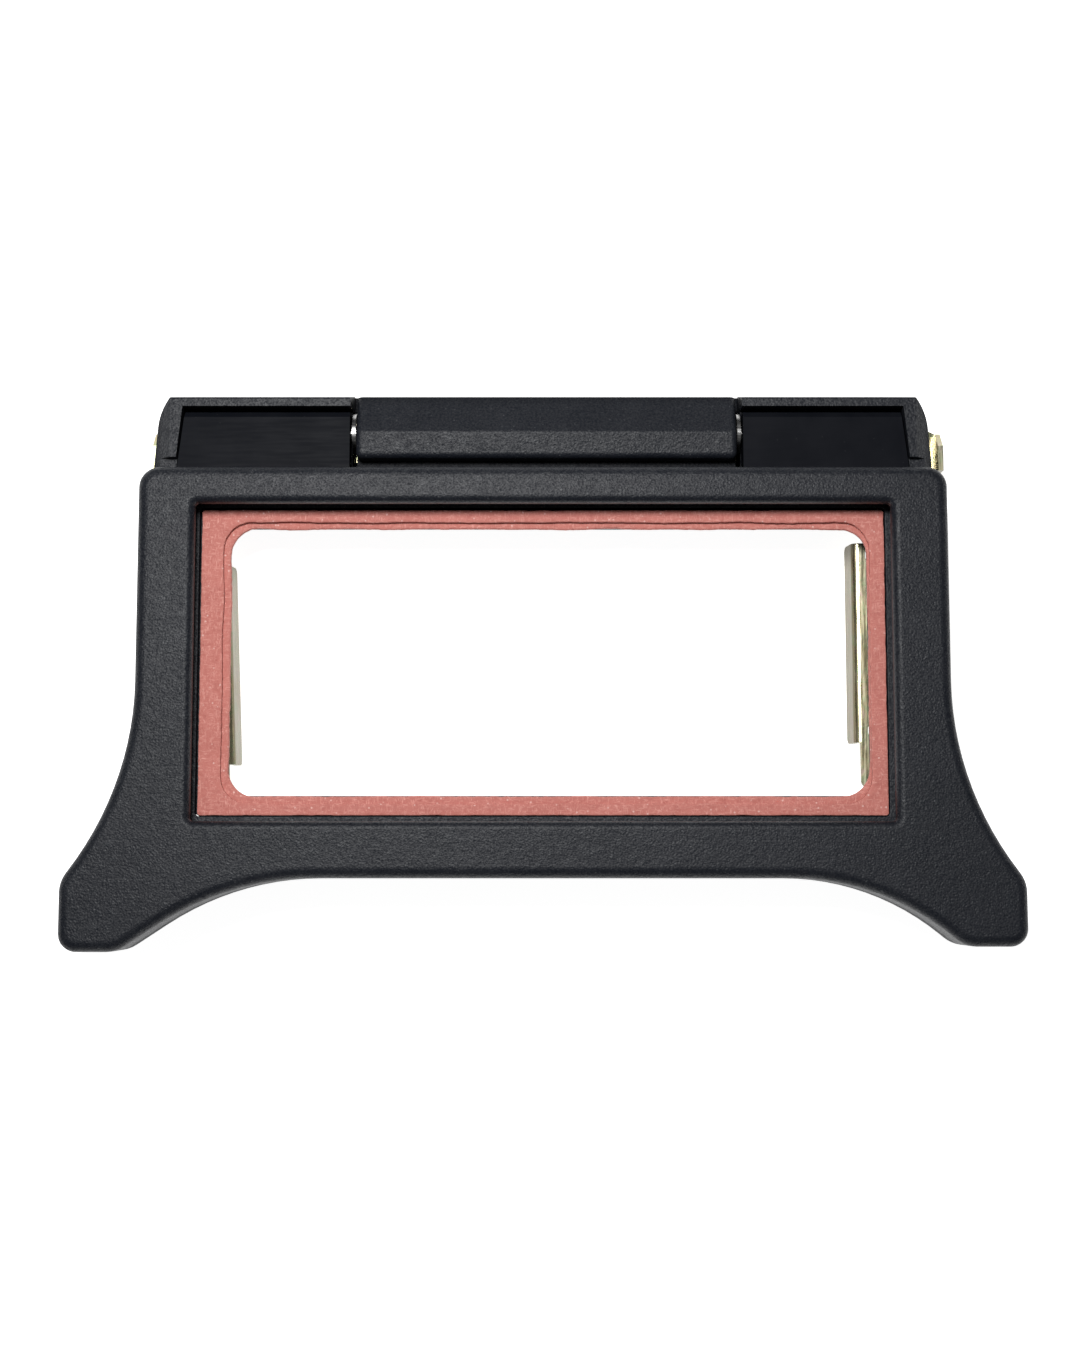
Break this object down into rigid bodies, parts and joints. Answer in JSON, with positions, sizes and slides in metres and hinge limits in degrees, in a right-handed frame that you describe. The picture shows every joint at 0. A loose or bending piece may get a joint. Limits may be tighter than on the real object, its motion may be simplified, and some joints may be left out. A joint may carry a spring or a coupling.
{
  "type": "lift-front lens holder",
  "caption": "Lift-front lens holder: a base frame with a fibre-gasketed window and side plate clips, and a hinged front frame with splayed lifting feet.",
  "frame": {"origin": "middle of the outer box on the rear mounting face; the holder lies on its back", "axes": "+Z out of the front face, +Y from the lifting feet towards the hinge, +X to the right as seen from the front"},
  "size_m": [0.146, 0.088, 0.0195],
  "materials": {
    "black_nylon": "moulded black nylon with a fine spark-eroded grain, edges rubbed slightly shiny",
    "smooth_nylon": "smooth black nylon",
    "red_fibre": "red vulcanised fibre sheet, fine fibres, cut edges",
    "zinc_plate": "spring steel, yellow-passivated zinc plating",
    "bright_steel": "drawn bright steel",
    "bearing_plastic": "natural acetal",
    "insert_brass": "machined brass"
  },
  "bodies": {
    "base": {"base_frame": "black_nylon", "cap_screws": "bright_steel", "clip_rivets_left": "bright_steel", "clip_rivets_right": "bright_steel", "clip_washers_left": "bright_steel", "clip_washers_right": "bright_steel", "detent_spring": "zinc_plate", "gasket_front": "red_fibre", "gasket_rear": "red_fibre", "hinge_cap_left": "smooth_nylon", "hinge_cap_right": "smooth_nylon", "hinge_pin": "bright_steel", "hinge_washer_left": "bright_steel", "hinge_washer_right": "bright_steel", "mounting_inserts": "insert_brass"},
    "lift_front": {"lift_frame": "black_nylon", "plate_retaining_wire": "bright_steel", "barrel_bush_left": "bearing_plastic", "barrel_bush_right": "bearing_plastic"},
    "clip_left": {"clip_left": "zinc_plate"},
    "clip_right": {"clip_right": "zinc_plate"}
  },
  "joints": [
    {"name": "lift_hinge", "type": "hinge", "parent": "base", "child": "lift_front", "pos_m": [0, 0.037, 0.01], "axis": [-1, 0, 0], "range_deg": [0, 110]},
    {"name": "clip_left_slide", "type": "slide", "parent": "base", "child": "clip_left", "axis": [-1, 0, 0], "range_m": [0, 0.004]},
    {"name": "clip_right_slide", "type": "slide", "parent": "base", "child": "clip_right", "axis": [1, 0, 0], "range_m": [0, 0.004]}
  ]
}
